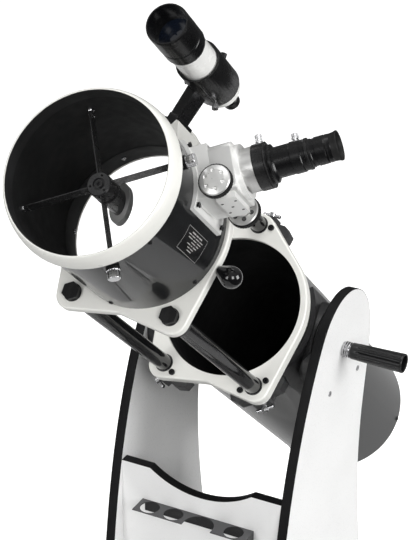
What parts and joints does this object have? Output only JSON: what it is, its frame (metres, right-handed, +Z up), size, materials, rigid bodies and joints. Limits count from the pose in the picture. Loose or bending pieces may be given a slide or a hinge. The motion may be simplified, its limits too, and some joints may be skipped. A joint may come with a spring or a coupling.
{
  "type": "dobsonian telescope",
  "caption": "Collapsible three-strut reflecting telescope on a rocker mount, with spider, focuser, finder, eared rings, side bearings, eyepiece rack and turntable base.",
  "frame": {"origin": "on the azimuth axis at floor level, where the feet stand", "axes": "+Z up along the azimuth axis; -Y towards the front board and the open end of the tube; X along the altitude axis, +X on the focuser side"},
  "size_m": [0.5403, 1.0123, 1.248],
  "materials": {
    "white_melamine": "satin white laminate on particle board",
    "black_edging": "textured black edge banding",
    "white_nylon": "low-friction nylon",
    "zinc_steel": "zinc-plated steel",
    "rack_steel": "dark grey powder coat",
    "bearing_plastic": "moulded black plastic",
    "tube_paint": "glossy dark metallic enamel outside, flat black inside",
    "cream_casting": "satin cream-white enamel on an aluminium casting",
    "strut_black": "glossy black anodised tube",
    "gloss_black": "polished black plastic",
    "black_hardware": "black oxide steel",
    "chrome_hardware": "bright nickel plate",
    "cell_casting": "cast aluminium",
    "knob_plastic": "ribbed black plastic",
    "mirror_silver": "first-surface aluminised glass",
    "handle_grip": "fluted black grip on a chrome knurled collar",
    "spider_black": "flat black",
    "focuser_silver": "bead-blasted silver casting",
    "black_anodised": "black anodised",
    "finder_white": "white enamel"
  },
  "bodies": {
    "ground": {"ground_board": "white_melamine", "ground_feet": "black_edging", "azimuth_glide_pads": "white_nylon", "azimuth_pivot_bolt": "zinc_steel"},
    "rocker": {"rocker_base_board": "white_melamine", "rocker_edge_bands": "black_edging", "azimuth_bush": "white_nylon", "side_board_right": "white_melamine", "side_board_left": "white_melamine", "front_board": "white_melamine", "eyepiece_rack": "rack_steel", "rocker_screws": "zinc_steel", "altitude_cradles": "bearing_plastic"},
    "tube": {"lower_tube": "tube_paint", "lower_ring": "cream_casting", "tube_screws": "black_hardware", "strut_clamps": "bearing_plastic", "strut_bushes": "bearing_plastic", "altitude_bearings": "bearing_plastic", "rear_frame": "cell_casting", "collimation_springs": "zinc_steel"},
    "primary_cell": {"mirror_cell": "cell_casting", "primary_mirror": "mirror_silver", "mirror_clips": "knob_plastic"},
    "collimation_1": {"collimation_knob_1": "knob_plastic"},
    "collimation_2": {"collimation_knob_2": "knob_plastic"},
    "collimation_3": {"collimation_knob_3": "knob_plastic"},
    "lock_top": {"strut_lock_screw_top": "chrome_hardware"},
    "lock_right": {"strut_lock_screw_right": "chrome_hardware"},
    "lock_left": {"strut_lock_screw_left": "chrome_hardware"},
    "handle_right": {"tension_handle_right": "handle_grip"},
    "handle_left": {"tension_handle_left": "handle_grip"},
    "upper": {"upper_tube": "tube_paint", "front_ring": "cream_casting", "ear_ring": "cream_casting", "struts": "strut_black", "strut_collars": "strut_black", "strut_hex_caps": "gloss_black", "pull_knob": "gloss_black", "spider_vanes": "spider_black", "spider_hub": "spider_black", "spider_tension_nuts": "chrome_hardware", "upper_screws": "black_hardware", "focuser_base": "focuser_silver", "focuser_body": "focuser_silver", "finder_shoe": "cream_casting", "finder_bracket": "black_anodised", "finder_adjust_screws": "black_anodised", "finder_tube": "finder_white", "finder_eyepiece": "black_anodised"},
    "secondary": {"secondary_holder": "spider_black", "secondary_mirror": "mirror_silver"},
    "drawtube": {"focuser_drawtube": "focuser_silver", "adapter_collar": "black_anodised", "eyepiece_adapter": "black_anodised", "eyepiece_thumbscrews": "chrome_hardware", "eyepiece": "black_anodised"},
    "focus_knobs": {"focus_knobs": "focuser_silver"},
    "finder_cell": {"finder_objective_cell": "black_anodised"},
    "shoe_clamp": {"shoe_clamp_screw": "black_hardware"}
  },
  "joints": [
    {"name": "azimuth_turn", "type": "hinge", "parent": "ground", "child": "rocker", "pos_m": [0, 0, 0.05], "axis": [0, 0, 1], "continuous": true},
    {"name": "altitude_tilt", "type": "hinge", "parent": "rocker", "child": "tube", "pos_m": [0, 0.045, 0.595], "axis": [-1, 0, 0], "range_deg": [-43, 46.7]},
    {"name": "strut_collapse", "type": "slide", "parent": "tube", "child": "upper", "axis": [0, -0.7285, 0.6851], "range_m": [-0.295, 0]},
    {"name": "strut_lock_top_turn", "type": "hinge", "parent": "tube", "child": "lock_top", "pos_m": [0, 0.10645, 0.76399], "axis": [0, 0.6851, 0.7285], "range_deg": [-360, 0]},
    {"name": "strut_lock_right_turn", "type": "hinge", "parent": "tube", "child": "lock_right", "pos_m": [0.09308, -0.10022, 0.54421], "axis": [0.5634, -0.566, -0.6019], "range_deg": [-360, 0]},
    {"name": "strut_lock_left_turn", "type": "hinge", "parent": "tube", "child": "lock_left", "pos_m": [-0.09308, -0.10022, 0.54421], "axis": [-0.5634, -0.566, -0.6019], "range_deg": [-360, 0]},
    {"name": "tension_handle_right_turn", "type": "hinge", "parent": "tube", "child": "handle_right", "pos_m": [0.15, 0.045, 0.595], "axis": [1, 0, 0], "range_deg": [-180, 180]},
    {"name": "tension_handle_left_turn", "type": "hinge", "parent": "tube", "child": "handle_left", "pos_m": [-0.15, 0.045, 0.595], "axis": [-1, 0, 0], "range_deg": [-180, 180]},
    {"name": "mirror_cell_travel", "type": "slide", "parent": "tube", "child": "primary_cell", "axis": [0, -0.7285, 0.6851], "range_m": [-0.0015, 0.0015]},
    {"name": "collimation_knob_1_turn", "type": "hinge", "parent": "tube", "child": "collimation_1", "pos_m": [0, 0.45895, 0.31555], "axis": [0, 0.7285, -0.6851], "range_deg": [-545, 545]},
    {"name": "collimation_knob_2_turn", "type": "hinge", "parent": "tube", "child": "collimation_2", "pos_m": [-0.06928, 0.37674, 0.22813], "axis": [0, 0.7285, -0.6851], "range_deg": [-545, 545]},
    {"name": "collimation_knob_3_turn", "type": "hinge", "parent": "tube", "child": "collimation_3", "pos_m": [0.06928, 0.37674, 0.22813], "axis": [0, 0.7285, -0.6851], "range_deg": [-545, 545]},
    {"name": "focus_travel", "type": "slide", "parent": "upper", "child": "drawtube", "axis": [0.8813, 0.3237, 0.3442], "range_m": [-0.009, 0.03]},
    {"name": "focus_knob_turn", "type": "hinge", "parent": "upper", "child": "focus_knobs", "pos_m": [0.14819, -0.32938, 1.00777], "axis": [0, 0.7285, -0.6851], "range_deg": [-135, 435]},
    {"name": "secondary_turn", "type": "hinge", "parent": "upper", "child": "secondary", "pos_m": [0, -0.39209, 1.00603], "axis": [0, -0.7285, 0.6851], "range_deg": [-10, 10]},
    {"name": "finder_focus_turn", "type": "hinge", "parent": "upper", "child": "finder_cell", "pos_m": [0.04349, -0.28807, 1.20424], "axis": [0, -0.7285, 0.6851], "range_deg": [-180, 180]},
    {"name": "shoe_clamp_turn", "type": "hinge", "parent": "upper", "child": "shoe_clamp", "pos_m": [-0.00276, -0.2538, 1.06551], "axis": [-0.9803, 0.1354, 0.144], "range_deg": [-360, 0]}
  ],
  "couplings": [
    {"joint": "focus_knob_turn", "follows": "focus_travel", "rad_per_m": 250},
    {"joint": "collimation_knob_1_turn", "follows": "mirror_cell_travel", "rad_per_m": 6283.2},
    {"joint": "collimation_knob_2_turn", "follows": "mirror_cell_travel", "rad_per_m": 6283.2},
    {"joint": "collimation_knob_3_turn", "follows": "mirror_cell_travel", "rad_per_m": 6283.2}
  ]
}
